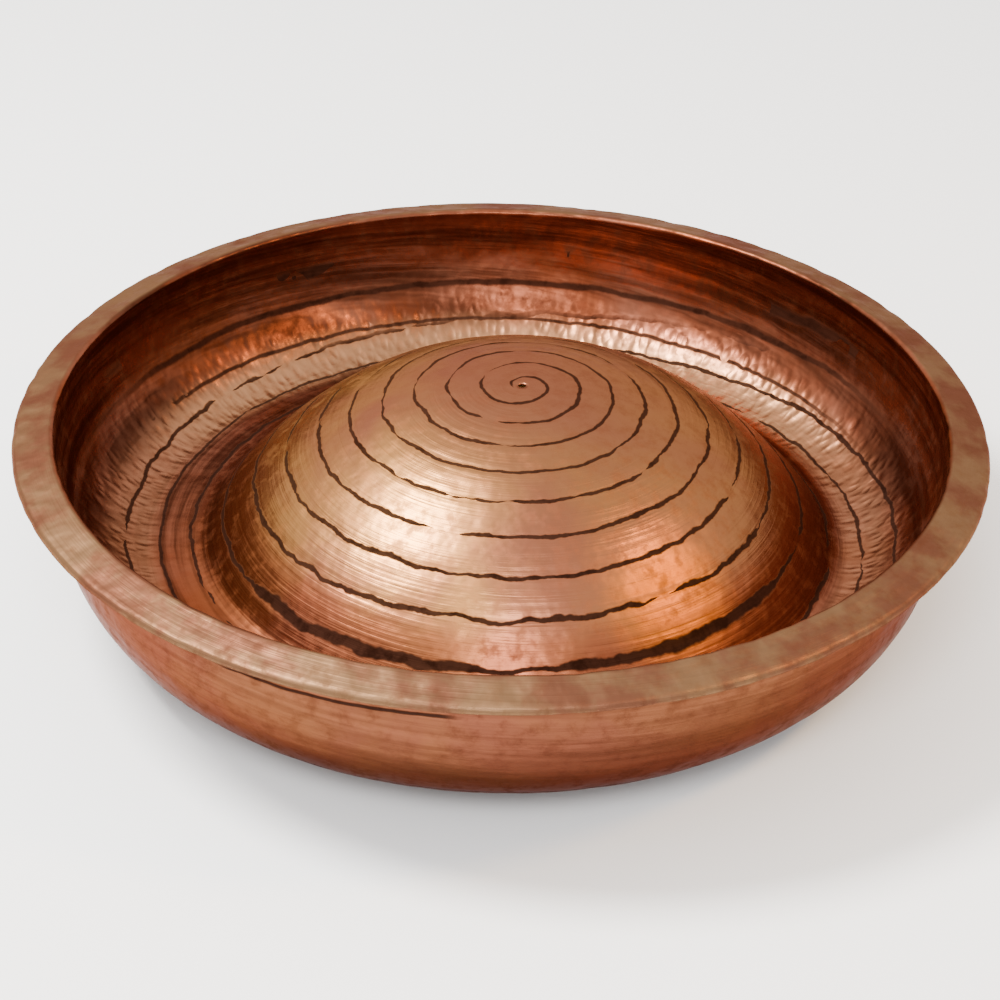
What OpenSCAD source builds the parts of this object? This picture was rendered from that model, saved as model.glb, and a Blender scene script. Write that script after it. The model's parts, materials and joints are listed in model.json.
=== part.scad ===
// Tabletop water fountain: a hammered copper tray with a domed middle, lifted out of a copper bowl.
// The bowl holds the water. A small submersible pump in it sends water up a riser tube to the crown
// of the dome, and the water runs down into the moat and back through drain holes into the bowl.
// Frame: +Z up, the table is z = 0, the rim's axis is x = y = 0, and the front is -Y.

/* [Tray] */
// Diameter over the tray's rim
rim_d = 400; // [396:1:406]
// Slope of the rim, falling outwards
rim_fall_a = 15; // [12:1:16]
// Height of the rim's crest above the table
crest_z = 85.4; // [84:0.2:87]
// Thickness of the copper sheet
sheet = 1; // [0.9:0.1:1.2]
// Height of the moat's floor above the table
moat_z = 28; // [26:0.5:30]
// Radius where the tray's wall meets the moat's floor
moat_r = 142; // [140:0.5:145]

/* [Dome] */
// Height of the dome's crown above the moat's floor
dome_h = 70.4; // [66:0.2:72]
// Radius at which the dome's curve would meet the moat's floor
dome_r = 132; // [130:0.5:133]
// Power of the dome's curve: higher is flatter on top and steeper at the foot
dome_power = 2.4; // [2.2:0.05:2.6]
// How far the dome stands to the right of the rim's axis
dome_x = 8; // [6:0.5:9]
// Radius of the water outlet in the crown
outlet_r = 1.6; // [1.4:0.1:2]
// Radius of the drain holes at the front of the moat
drain_r = 3; // [2.2:0.1:3.2]

/* [Bowl] */
// Outer radius of the bowl under its lip
bowl_r = 185.2; // [184.8:0.1:185.6]
// Radius at which the bowl's wall runs out into its flat floor
bowl_base_r = 118; // [114:1:122]
// Power of the bowl's wall: higher is squarer
bowl_power = 2.5; // [2.3:0.05:2.6]
// Height of the rubber feet
foot_h = 3; // [2.5:0.5:4]
// Distance of each foot from the bowl's axis
foot_ring_r = 100; // [90:1:104]
// Radius of the cord's hole in the grommet
cord_r = 2.6; // [2.4:0.1:3]

/* [Pump] */
// Length of the motor block
motor_l = 38; // [38:1:42]
// Width of the pump
pump_w = 36; // [36:1:40]
// Height of the pump
pump_h = 44; // [44:1:46]
// Height of the suction cups
cup_h = 6; // [5:0.5:7]

/* [Hidden] */
$fn = 96;

feet = [["foot_front_left", 225], ["foot_front_right", 315],
    ["foot_back_left", 135], ["foot_back_right", 45]];
floor_z = foot_h + sheet;
crown_z = moat_z + dome_h;

copper = "#b8734a";
brass = "#c9a04e";
black = "#26272a";
rubber = "#3a3a3c";

// --- shared shapes ---

// Points on an arc about c, from angle a to angle b.
function arc(c, r, a, b, n) = [for (i = [0:n]) c + r * [cos(a + (b - a) * i / n), sin(a + (b - a) * i / n)]];

function reversed(list) = [for (i = [len(list) - 1:-1:0]) list[i]];

// Superelliptic wall, rising from a level floor at [r0, z0] to upright at [r1, z1], set in by d.
function wall_curve(r0, r1, z0, z1, power, d, n) = [for (i = [n:-1:0]) let (
    q = 90 * i / n,
    u = pow(cos(q), 2 / power),
    v = pow(sin(q), 2 / power),
    g = [pow(u, power - 1) / (r1 - r0), -pow(v, power - 1) / (z1 - z0)]
) [r0 + (r1 - r0) * u, z1 - (z1 - z0) * v] - d * g / norm(g)];

module ring(r_out, r_in, h) {
    difference() {
        cylinder(r = r_out, h = h);
        translate([0, 0, -1]) cylinder(r = r_in, h = h + 2);
    }
}

module rounded_rect(w, h, r) {
    square([w - 2 * r, h], center = true);
    square([w, h - 2 * r], center = true);
    for (x = [-1, 1], y = [-1, 1]) translate([x * (w / 2 - r), y * (h / 2 - r)]) circle(r = r);
}

// --- rims: the bowl's lip nests under the tray's, a little apart ---

out_a = 90 - rim_fall_a;
rim_out = [cos(out_a), sin(out_a)];            // square to the rim, upwards
rim_along = [cos(rim_fall_a), -sin(rim_fall_a)];
tray_gap = 0.6;                                // between the two walls
lip_gap = 0.35;                                // between the two lips
tray_neck_r = bowl_r - sheet - tray_gap;       // outside of the tray's wall
tray_bend_r = 1.2;                             // on the lower side
tray_bend = [tray_neck_r + tray_bend_r, crest_z - sheet - tray_bend_r];
edge_r = 2.2;                                  // turned-down edge of the tray's rim, lower side
edge_a = 75;                                   // how far it turns down past the rim's slope
edge_c_r = rim_d / 2 - (edge_r + sheet);       // its centre's radius
edge_run = (edge_c_r + edge_r * cos(out_a) - tray_bend[0] - tray_bend_r * cos(out_a)) / cos(rim_fall_a);
edge_c = tray_bend + (tray_bend_r - edge_r) * rim_out + edge_run * rim_along;
bowl_bend_r = 1;
bowl_bend_x = bowl_r + bowl_bend_r;
bowl_bend_z = (tray_bend * rim_out + tray_bend_r - lip_gap - sheet - bowl_bend_r
    - bowl_bend_x * rim_out[0]) / rim_out[1];
bowl_lip_l = 8;

// --- bowl ---

bowl_wall_top = 73;

// The bowl's section, set in by d from its lower, outer side.
function bowl_path(d) = concat(
    [[0, foot_h + d]],
    wall_curve(bowl_base_r, bowl_r, foot_h, bowl_wall_top, bowl_power, d, 22),
    arc([bowl_bend_x, bowl_bend_z], bowl_bend_r + d, 180, out_a, 8),
    [[bowl_bend_x, bowl_bend_z] + (bowl_bend_r + d) * rim_out + bowl_lip_l * rim_along]
);

module bowl_shell() rotate_extrude() polygon(concat(bowl_path(0), reversed(bowl_path(sheet))));

module bowl() color(copper) difference() {
    bowl_shell();
    at_grommet(0) cylinder(r = grommet_r, h = rim_d / 2);
}

// Outer radius of the bowl's wall at a height.
function bowl_wall_r(z) = bowl_base_r + (bowl_r - bowl_base_r)
    * pow(1 - pow((bowl_wall_top - z) / (bowl_wall_top - foot_h), bowl_power), 1 / bowl_power);

// --- rubber feet, stuck under the floor ---

foot_r = 9;                                    // on the table
foot_top_r = 10;

module foot(angle) color(rubber) rotate(angle) translate([foot_ring_r, 0, 0])
    cylinder(r1 = foot_r, r2 = foot_top_r, h = foot_h);

// --- cord grommet, in the bowl's back wall above the water ---

grommet_r = 4.5;                               // hole in the copper
grommet_flange_r = 7;
grommet_l = 8;
grommet_z = 44;
grommet_y = bowl_wall_r(grommet_z) - 4.7;      // inner face

// A shape drawn along +Z, laid along +Y at the grommet's height, starting at y.
module at_grommet(y) translate([0, y, grommet_z]) rotate([-90, 0, 0]) children();

module cord_grommet() color(rubber) difference() {
    at_grommet(grommet_y) cylinder(r = grommet_flange_r, h = grommet_l);
    bowl();
    at_grommet(grommet_y - 1) cylinder(r = cord_r, h = grommet_l + 2);
}

// --- pump, under the dome's axis ---
// Lengths along the pump are measured from the riser, with the intake towards +X.

wall = 2;
corner_r = 6;                          // of the long edges
inner_corner_r = 4.5;
cut_l = 40;                            // long enough to cut right through the motor
pump_z = floor_z + cup_h;
rotor_z = 16.5;                        // rotor's axis above the pump's underside

// motor block, and the rotor's well in it
motor_end = -7;                        // front face
motor_back = motor_end - motor_l;
well_r = 7.25;
well_wall = 1.5;
well_back = -39;
rear_bush_r = 4;
rear_bush_l = 2.5;
bush_seat_l = 1.8;                     // depth of the rear bush's seat behind the well
bush_floor = 0.4;                      // closed end of both bushes
collar_r = 16.4;                       // collar that takes the cover
collar_bore_r = 14.6;
collar_l = 3.6;
stack = [-32, -16];                    // stator laminations, along the pump
leg_y = [9, 15.4];
leg_z = 8;
yoke_z = [30.5, 37.5];
coil_z = [26.5, 41.5];
coil_w = 16;
coil_over = 4;                         // past each end of the laminations
cord_exit = [-12, 8];                  // where the cord leaves the motor, across its rear face
bushing_r = 5;
bushing_bore_r = 2.75;
bushing_out = 7;                       // length outside and inside the motor
bushing_in = 3;
cup_r = 8;                             // suction cup: skirt, neck, and the stem that snaps into the housing
cup_skirt_r = 4.5;
cup_skirt_h = 3.4;
cup_neck_r = 3.4;
cup_stem_r = 2.5;
cup_hollow = [6.4, 2, 1.8];            // lower and upper radius, and height

// cover, rotor and riser
cover_x = -5;
cover_l = 12;
cover_r = 14.4;
chamber_r = 12;
inlet_r = 6;
hub_x = 4;
hub_r = 3.6;
hub_l = 3;
spoke_w = 1.6;
spoke_l = 3.4;
front_bush_r = 2.5;
front_bush_l = 2.4;
o_ring_r = 13.3;
shaft_r = 1.15;
shaft_back = well_back + bush_floor;
shaft_end = hub_x + front_bush_l - bush_floor;
rotor_bore_r = 1.22;
magnet_r = 6.3;
magnet_x = -36;
magnet_l = 21.5;
impeller_r = 10.8;
impeller_hub_r = 4;
impeller_end = 2;
disc_x = -6.3;
disc_l = 1.2;
blades = 6;
blade_t = 1.2;
blade_x = -5.4;
spout_r = 4;                           // outside of the pump's outlet
spout_bore_r = 2.6;
spout_top = pump_h + 8;
riser_base = pump_z + pump_h;
riser_bore_r = 4;
riser_wall = 1.5;
riser_top = crown_z - sheet - 2.2;     // just under the spigot's flange

// intake cage, sponge and dial
cage_x = -3;                           // rear edge
cage_l = 25;
cage_wall = 1.6;
cage_front = cage_x + cage_l;
notch_r = 5;                           // room for the outlet as the cage comes off
slot_w = 1.8;
slot_pitch = 4.2;
face_slot = [30, 9];                   // height above the underside, and length
side_slot = [8, 26];
side_slot_w = 1.6;
sponge_x = 8;
sponge_l = 12;
dial_r = 8.5;
dial_t = 2;
dial_gap = 0.1;                        // between the cage's face and the dial
dial_port = [5.2, 2.4];                // each port's distance from the dial's axis, and its radius
pivot_r = 1.52;
pivot_hole_r = 1.6;
handle_w = 2;
handle_h = 2.4;

module at_pump() translate([dome_x, 0, pump_z]) children();
// A shape drawn along +Z, laid along +X on the rotor's axis and starting at x.
module on_rotor(x) at_pump() translate([x, 0, rotor_z]) rotate([0, 90, 0]) children();

// A bar along X with rounded long edges, its underside on the pump's underside.
module pump_bar(x, l, inset, r) at_pump() translate([x, 0, pump_h / 2]) rotate([90, 0, 90])
    linear_extrude(l) rounded_rect(pump_w - 2 * inset, pump_h - 2 * inset, r);

function cup_at(i) = [motor_back + (i < 2 ? 7 : 31), (i % 2 == 0 ? -1 : 1) * 11.5, 0];

module motor_housing() color(black) difference() {
    union() {
        difference() {
            pump_bar(motor_back, motor_l, 0, corner_r);
            pump_bar(motor_back - 1, motor_l - wall + 1, wall, inner_corner_r);
        }
        on_rotor(well_back - well_wall)
            cylinder(r = well_r + well_wall, h = motor_end - well_back + well_wall);
        on_rotor(motor_end - 1) ring(collar_r, collar_bore_r, collar_l);
    }
    on_rotor(well_back) cylinder(r = rear_bush_r, h = cut_l);
    on_rotor(well_back + bush_seat_l) cylinder(r = well_r, h = cut_l);
    for (i = [0:3]) at_pump() translate(cup_at(i) - [0, 0, 1]) cylinder(r = cup_stem_r, h = wall + 1);
}

module yoke() translate([stack[0], -leg_y[0], yoke_z[0]])
    cube([stack[1] - stack[0], 2 * leg_y[0], yoke_z[1] - yoke_z[0]]);

module coil_block() translate([stack[0] - coil_over, -coil_w / 2, coil_z[0]])
    cube([stack[1] - stack[0] + 2 * coil_over, coil_w, coil_z[1] - coil_z[0]]);

module stator_core() color("#6f7276") at_pump() {
    for (s = [-1, 1]) translate([stack[0], s > 0 ? leg_y[0] : -leg_y[1], leg_z])
        cube([stack[1] - stack[0], leg_y[1] - leg_y[0], yoke_z[1] - leg_z]);
    yoke();
}

module motor_coil() color("#a5532a") at_pump() difference() {
    coil_block();
    yoke();
}

module potting_resin() color("#1c1d20") difference() {
    pump_bar(motor_back + 1, motor_l - wall - 1, wall, inner_corner_r);
    on_rotor(well_back - well_wall) cylinder(r = well_r + well_wall, h = cut_l);
    on_rotor(motor_back - 1) translate(cord_exit) cylinder(r = bushing_r, h = bushing_in + 1);
    stator_core();
    at_pump() coil_block();
}

module cord_bushing() color(rubber) on_rotor(motor_back - bushing_out) translate(cord_exit) difference() {
    union() {
        cylinder(r1 = bushing_r - 1, r2 = bushing_r, h = bushing_out + 1);
        translate([0, 0, bushing_out + 1]) cylinder(r = bushing_r, h = bushing_in - 1);
    }
    translate([0, 0, -1]) cylinder(r = bushing_bore_r, h = bushing_out + bushing_in + 2);
}

module suction_cup(i) color(rubber) at_pump() translate(cup_at(i) - [0, 0, cup_h]) difference() {
    union() {
        cylinder(r1 = cup_r, r2 = cup_skirt_r, h = cup_skirt_h);
        cylinder(r = cup_neck_r, h = cup_h);
        cylinder(r = cup_stem_r, h = cup_h + wall);
    }
    translate([0, 0, -0.01]) cylinder(r1 = cup_hollow[0], r2 = cup_hollow[1], h = cup_hollow[2]);
}

module impeller_cover() color(black) {
    difference() {
        union() {
            on_rotor(cover_x) cylinder(r = cover_r, h = cover_l);
            at_pump() translate([0, 0, rotor_z]) cylinder(r = spout_r, h = spout_top - rotor_z);
        }
        on_rotor(cover_x - 1) cylinder(r = chamber_r, h = cover_l - wall + 1);
        on_rotor(hub_x) cylinder(r = inlet_r, h = hub_l + 1);
        at_pump() translate([0, 0, rotor_z]) cylinder(r = spout_bore_r, h = spout_top);
    }
    // the front bush's hub, on three spokes across the inlet
    difference() {
        union() {
            on_rotor(hub_x) cylinder(r = hub_r, h = hub_l);
            for (a = [90, 210, 330]) on_rotor(hub_x + 1) rotate(a)
                translate([hub_r - 0.6, -spoke_w / 2, 0]) cube([spoke_l, spoke_w, hub_l - 1]);
        }
        on_rotor(hub_x - 1) cylinder(r = front_bush_r, h = front_bush_l + 1);
    }
}

module cover_o_ring() color(rubber) on_rotor((motor_end + cover_x) / 2)
    rotate_extrude() translate([o_ring_r, 0]) circle(d = cover_x - motor_end);

module rotor_shaft() color("#e8e4da") on_rotor(shaft_back) cylinder(r = shaft_r, h = shaft_end - shaft_back);

module rear_bush() color(rubber) on_rotor(well_back) difference() {
    cylinder(r = rear_bush_r, h = rear_bush_l);
    translate([0, 0, bush_floor]) cylinder(r = shaft_r, h = rear_bush_l);
}

module front_bush() color(rubber) on_rotor(hub_x) difference() {
    cylinder(r = front_bush_r, h = front_bush_l);
    translate([0, 0, -bush_floor]) cylinder(r = shaft_r, h = front_bush_l);
}

module rotor_magnet() color("#4a4038") on_rotor(magnet_x) ring(magnet_r, rotor_bore_r, magnet_l);

module impeller() color("#d9dde0") difference() {
    union() {
        on_rotor(magnet_x + magnet_l) cylinder(r = impeller_hub_r, h = impeller_end - magnet_x - magnet_l);
        on_rotor(disc_x) cylinder(r = impeller_r, h = disc_l);
        for (i = [1:blades]) on_rotor(blade_x) rotate(360 * i / blades)
            translate([2, -blade_t / 2, 0]) cube([impeller_r - 2, blade_t, impeller_end - blade_x]);
    }
    on_rotor(magnet_x) cylinder(r = rotor_bore_r, h = cut_l);
}

module riser_tube() color("#d7e2e4") translate([dome_x, 0, riser_base])
    ring(riser_bore_r + riser_wall, riser_bore_r, riser_top - riser_base);

module intake_cage() color(black) difference() {
    pump_bar(cage_x, cage_l, 0, corner_r);
    pump_bar(cage_x - 1, cage_l - cage_wall + 1, cage_wall, corner_r - 1.4);
    // notch in the top
    at_pump() translate([cage_x - 1, -notch_r, pump_h - 6]) cube([1 - cage_x, 2 * notch_r, 8]);
    at_pump() translate([0, 0, pump_h - 6]) cylinder(r = notch_r, h = 8);
    // slots in the face, above the dial, and in both sides
    for (i = [-3:3]) at_pump() translate([cage_front - 3, i * slot_pitch - slot_w / 2, face_slot[0]])
        cube([5, slot_w, face_slot[1]]);
    for (i = [0:4], s = [-1, 1]) at_pump() translate([6 + i * 3, s * pump_w / 2 - 2.5, side_slot[0]])
        cube([side_slot_w, 5, side_slot[1]]);
    // the dial's two ports and its pivot hole
    on_rotor(cage_front - 4) {
        for (a = [0, 180]) rotate(a) translate([dial_port[0], 0, 0]) cylinder(r = dial_port[1], h = 8);
        cylinder(r = pivot_hole_r, h = 8);
    }
}

module filter_sponge() color("#2d4a63") pump_bar(sponge_x, sponge_l, cage_wall + 0.2, corner_r - 1.6);

// The dial turns on its pivot and opens or closes the two ports.
module flow_dial() color("#3d4044") on_rotor(cage_front + dial_gap) difference() {
    union() {
        cylinder(r = dial_r, h = dial_t);
        translate([0, 0, -cage_wall]) cylinder(r = pivot_r, h = dial_t);
        translate([-dial_r + 1, -handle_w / 2, dial_t]) cube([2 * dial_r - 2, handle_w, handle_h]);
    }
    for (a = [0, 180]) rotate(a) translate([dial_port[0], 0, -1])
        cylinder(r = dial_port[1], h = dial_t + handle_h + 2);
}

// --- tray, with its dome ---

function dome_z(r) = moat_z + dome_h * (1 - pow(r / dome_r, dome_power));
function dome_slope(r) = atan(dome_h * dome_power / dome_r * pow(r / dome_r, dome_power - 1));

// The dome's foot runs out into the moat's floor on an arc that starts at this radius.
foot_start_r = dome_r - 3;
foot_slope = dome_slope(foot_start_r);
foot_arc_r = (dome_z(foot_start_r) - moat_z) / (1 - cos(foot_slope));
foot_end_r = foot_start_r + foot_arc_r * sin(foot_slope);
drains = [-130, -117, -104, -90, -76, -63, -50];  // at the front, round the tray's axis
drain_ring_r = moat_r - 2;

// The dome's section, set down by d from its upper side.
function dome_path(d) = concat(
    [for (i = [0:26]) let (r = foot_start_r * i / 26, a = dome_slope(r))
        [max(0, r - d * sin(a)), dome_z(r) - d * cos(a)]],
    arc([foot_end_r, moat_z + foot_arc_r], foot_arc_r + d, 270 - foot_slope, 270, 6)
);

// The tray's section outside the dome, set in by d from its lower, outer side.
function tray_path(d) = concat(
    [[foot_end_r - dome_x - 4, moat_z - sheet + d]],
    wall_curve(moat_r, tray_neck_r, moat_z - sheet, tray_bend[1], 2, d, 18),
    arc(tray_bend, tray_bend_r + d, 180, out_a, 8),
    arc(edge_c, edge_r + d, out_a, out_a - edge_a, 6)
);

module dome_tray() color(copper) difference() {
    union() {
        difference() {
            rotate_extrude() polygon(concat(tray_path(0), reversed(tray_path(sheet))));
            translate([dome_x, 0, 0]) cylinder(r = foot_end_r - 0.5, h = moat_z + 2);
        }
        translate([dome_x, 0, 0]) rotate_extrude() polygon(concat(dome_path(0), reversed(dome_path(sheet))));
    }
    translate([dome_x, 0, 0]) cylinder(r = outlet_r, h = crown_z + 1);
    for (a = drains) rotate(a) translate([drain_ring_r, 0, 0]) cylinder(r = drain_r, h = moat_z + 10);
}

// Brass spigot soldered under the crown. It slips into the riser when the tray is set down.
spigot_l = 17;
spigot_r = riser_bore_r - 0.2;
spigot_flange_r = 8;
spigot_flange_h = 1;
spigot_top = dome_z(spigot_flange_r) - sheet - 0.02;

module outlet_spigot() color(brass) translate([dome_x, 0, 0]) difference() {
    union() {
        translate([0, 0, spigot_top - spigot_flange_h]) cylinder(r = spigot_flange_r, h = spigot_flange_h);
        translate([0, 0, spigot_top - spigot_l]) cylinder(r = spigot_r, h = spigot_l);
    }
    translate([0, 0, spigot_top - spigot_l - 1]) cylinder(r = outlet_r, h = spigot_l + 2);
}

// --- one node at a time, or all together ---

bowl();
for (f = feet) foot(f[1]);
cord_grommet();
motor_housing();
potting_resin();
stator_core();
motor_coil();
cord_bushing();
for (i = [0:3]) suction_cup(i);
impeller_cover();
cover_o_ring();
rotor_shaft();
rear_bush();
front_bush();
riser_tube();
rotor_magnet();
impeller();
intake_cage();
filter_sponge();
flow_dial();
dome_tray();
outlet_spigot();
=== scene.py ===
import json
from math import atan, cos, hypot, pi, radians, sin

import bmesh
import bpy
from mathutils import Euler, Matrix, Vector


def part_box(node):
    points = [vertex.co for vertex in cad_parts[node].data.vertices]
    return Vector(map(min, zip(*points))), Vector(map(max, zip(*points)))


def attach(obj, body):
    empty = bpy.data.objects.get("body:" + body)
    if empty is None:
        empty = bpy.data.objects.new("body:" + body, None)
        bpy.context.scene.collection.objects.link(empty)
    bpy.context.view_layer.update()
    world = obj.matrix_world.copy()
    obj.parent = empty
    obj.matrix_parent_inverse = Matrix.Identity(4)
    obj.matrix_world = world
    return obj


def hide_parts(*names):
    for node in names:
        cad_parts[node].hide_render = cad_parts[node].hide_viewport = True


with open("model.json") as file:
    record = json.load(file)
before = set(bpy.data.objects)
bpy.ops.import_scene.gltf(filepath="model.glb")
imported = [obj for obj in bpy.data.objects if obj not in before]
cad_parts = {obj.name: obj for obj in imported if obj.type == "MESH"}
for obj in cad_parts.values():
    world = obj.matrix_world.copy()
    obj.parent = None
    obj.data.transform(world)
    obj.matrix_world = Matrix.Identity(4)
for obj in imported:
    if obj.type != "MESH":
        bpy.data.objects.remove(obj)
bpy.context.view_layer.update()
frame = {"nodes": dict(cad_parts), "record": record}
nodes = frame["nodes"]
mm = 0.001
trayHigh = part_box("dome_tray")[1]
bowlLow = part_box("bowl")[0]
spigotLow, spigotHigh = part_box("outlet_spigot")
grommetLow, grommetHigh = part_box("cord_grommet")
domeX = (spigotLow.x + spigotHigh.x) / 2
rimR = trayHigh.x
crownZ = trayHigh.z

# everything below is in metres, in the frame's own coordinates
sheet = {"thickness": 1.0 * mm, "segments": 576, "lipSlope": radians(15)}


# small helpers for meshes
def arcPoints(cx, cz, r, start, end, count):
    steps = [start + (end - start) * i / count for i in range(count + 1)]
    return [(cx + r * cos(a), cz + r * sin(a)) for a in steps]


def wallPoints(r0, r1, z0, z1, power, inset, first, last, count):
    # superelliptic wall, upright at the top and level at the floor; first and last are angles from level
    made = []
    for i in range(count + 1):
        q = first + (last - first) * i / count
        u = max(0.0, cos(q)) ** (2 / power)
        v = max(0.0, sin(q)) ** (2 / power)
        gx, gz = u ** (power - 1) / (r1 - r0), -v ** (power - 1) / (z1 - z0)
        size = hypot(gx, gz)
        made.append((r0 + (r1 - r0) * u - inset * gx / size, z1 - (z1 - z0) * v - inset * gz / size))
    return made


def lathe(name, outline, segments):
    # outline: closed loop of (radius, height, centre x, zone); zone marks how each ring is hammered
    mesh = bpy.data.meshes.new(name)
    rings = len(outline)
    points, faces, zones = [], [], []
    for radius, height, centre, zone in outline:
        for k in range(segments):
            a = 2 * pi * k / segments
            points.append((centre + radius * cos(a), radius * sin(a), height))
            zones.append(zone)
    for i in range(rings):
        j = (i + 1) % rings
        for k in range(segments):
            m = (k + 1) % segments
            faces.append((i * segments + k, i * segments + m, j * segments + m, j * segments + k))
    mesh.from_pydata(points, [], faces)
    for key in ("dome", "ripple", "rim", "plain"):
        values = mesh.attributes.new(key, "FLOAT", "POINT")
        values.data.foreach_set("value", [zone.get(key, 0.0) for zone in zones])
    return finishMesh(mesh)


def finishMesh(mesh):
    work = bmesh.new()
    work.from_mesh(mesh)
    bmesh.ops.remove_doubles(work, verts=work.verts, dist=0.00001)
    bmesh.ops.recalc_face_normals(work, faces=work.faces)
    for face in work.faces:
        face.smooth = True
    work.to_mesh(mesh)
    work.free()
    made = bpy.data.objects.new(mesh.name, mesh)
    bpy.context.scene.collection.objects.link(made)
    return made


def asMesh(piece):
    # the evaluated result becomes the piece's own mesh, and its modifiers go
    graph = bpy.context.evaluated_depsgraph_get()
    baked = bpy.data.meshes.new_from_object(piece.evaluated_get(graph))
    piece.modifiers.clear()
    piece.data = baked
    return piece


def drill(piece, radius, places, direction, length):
    # cuts round holes right through the sheet
    cutter = bpy.data.meshes.new("cutter")
    work = bmesh.new()
    turn = direction.to_track_quat("Z", "Y").to_matrix().to_4x4()
    for place in places:
        bmesh.ops.create_cone(work, cap_ends=True, segments=32, radius1=radius, radius2=radius, depth=length,
                              matrix=Matrix.Translation(place) @ turn)
    work.to_mesh(cutter)
    work.free()
    tool = bpy.data.objects.new("cutter", cutter)
    bpy.context.scene.collection.objects.link(tool)
    cut = piece.modifiers.new("hole", "BOOLEAN")
    cut.operation, cut.solver, cut.object = "DIFFERENCE", "EXACT", tool
    asMesh(piece)
    bpy.data.objects.remove(tool)
    return piece


# small helpers for node trees
def addNode(tree, kind, settings=None, inputs=None):
    node = tree.nodes.new(kind)
    for key, value in (settings or {}).items():
        setattr(node, key, value)
    for key, value in (inputs or {}).items():
        feed(tree, node.inputs[key], value)
    return node


def feed(tree, socket, value):
    if isinstance(value, bpy.types.NodeSocket):
        tree.links.new(value, socket)
    else:
        socket.default_value = value


def calc(tree, operation, a, b=0.0, clamp=False):
    node = addNode(tree, "ShaderNodeMath", {"operation": operation, "use_clamp": clamp}, {0: a, 1: b})
    return node.outputs[0]


def between(tree, value, low, high, outLow=0.0, outHigh=1.0):
    # smooth step from outLow to outHigh as value goes from low to high
    node = addNode(tree, "ShaderNodeMapRange", {"interpolation_type": "SMOOTHSTEP"},
                   {"Value": value, "From Min": low, "From Max": high, "To Min": outLow, "To Max": outHigh})
    return node.outputs["Result"]


def fade(tree, value, band):
    # band is (from, to), or (from, to, value at from, value at to)
    return between(tree, value, *band)


def times(tree, first, *others):
    for other in others:
        first = calc(tree, "MULTIPLY", first, other)
    return first


def plus(tree, first, *others):
    for other in others:
        first = calc(tree, "ADD", first, other)
    return first


def minus(tree, a, b):
    return calc(tree, "SUBTRACT", a, b)


def gap(tree, a, b):
    return calc(tree, "ABSOLUTE", minus(tree, a, b))


def split(tree, vector):
    return addNode(tree, "ShaderNodeSeparateXYZ", None, {0: vector}).outputs


def join(tree, x, y, z):
    return addNode(tree, "ShaderNodeCombineXYZ", None, {0: x, 1: y, 2: z}).outputs[0]


def lengthXY(tree, x, y):
    return calc(tree, "SQRT", plus(tree, times(tree, x, x), times(tree, y, y)))


def noise(tree, vector, scale, detail, roughness=0.5):
    return addNode(tree, "ShaderNodeTexNoise", None,
                   {"Vector": vector, "Scale": scale, "Detail": detail, "Roughness": roughness}).outputs[0]


def newGroup(name, kind, sockets):
    group = bpy.data.node_groups.new(name, kind)
    for direction, label, socketType, default in sockets:
        made = group.interface.new_socket(label, in_out=direction, socket_type="NodeSocket" + socketType)
        if default is not None:
            made.default_value = default
    return group, group.nodes.new("NodeGroupInput"), group.nodes.new("NodeGroupOutput")


# the spiral, shared by the groove in the sheet and the dark line in its finish
spiral = {"firstR": 10.4 * mm, "pitch": 13.35 * mm, "startR": 4.0 * mm, "endR": 171 * mm}


def spiralField(tree, vector, centreX):
    # distance in metres from the spiral's nearest turn, and the radius, both about the dome's axis
    parts = split(tree, vector)
    x = minus(tree, parts["X"], centreX)
    y = times(tree, parts["Y"], -1.0)
    radius = lengthXY(tree, x, y)
    angle = calc(tree, "DIVIDE", calc(tree, "ARCTAN2", y, x), 2 * pi)
    turn = minus(tree, calc(tree, "DIVIDE", minus(tree, radius, spiral["firstR"]), spiral["pitch"]), angle)
    away = minus(tree, turn, calc(tree, "ROUND", turn))
    return times(tree, away, spiral["pitch"]), radius, parts


hammering = {
    "dish": (0.0, 0.75), "dishBlend": 0.35, "peen": (0.0, 0.7), "peenBlend": 0.3, "peenMarks": 38.0,
    "peenStretch": 1.6, "slowScale": 14.0, "begin": 0.001, "nearAxis": 0.001,
}


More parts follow.
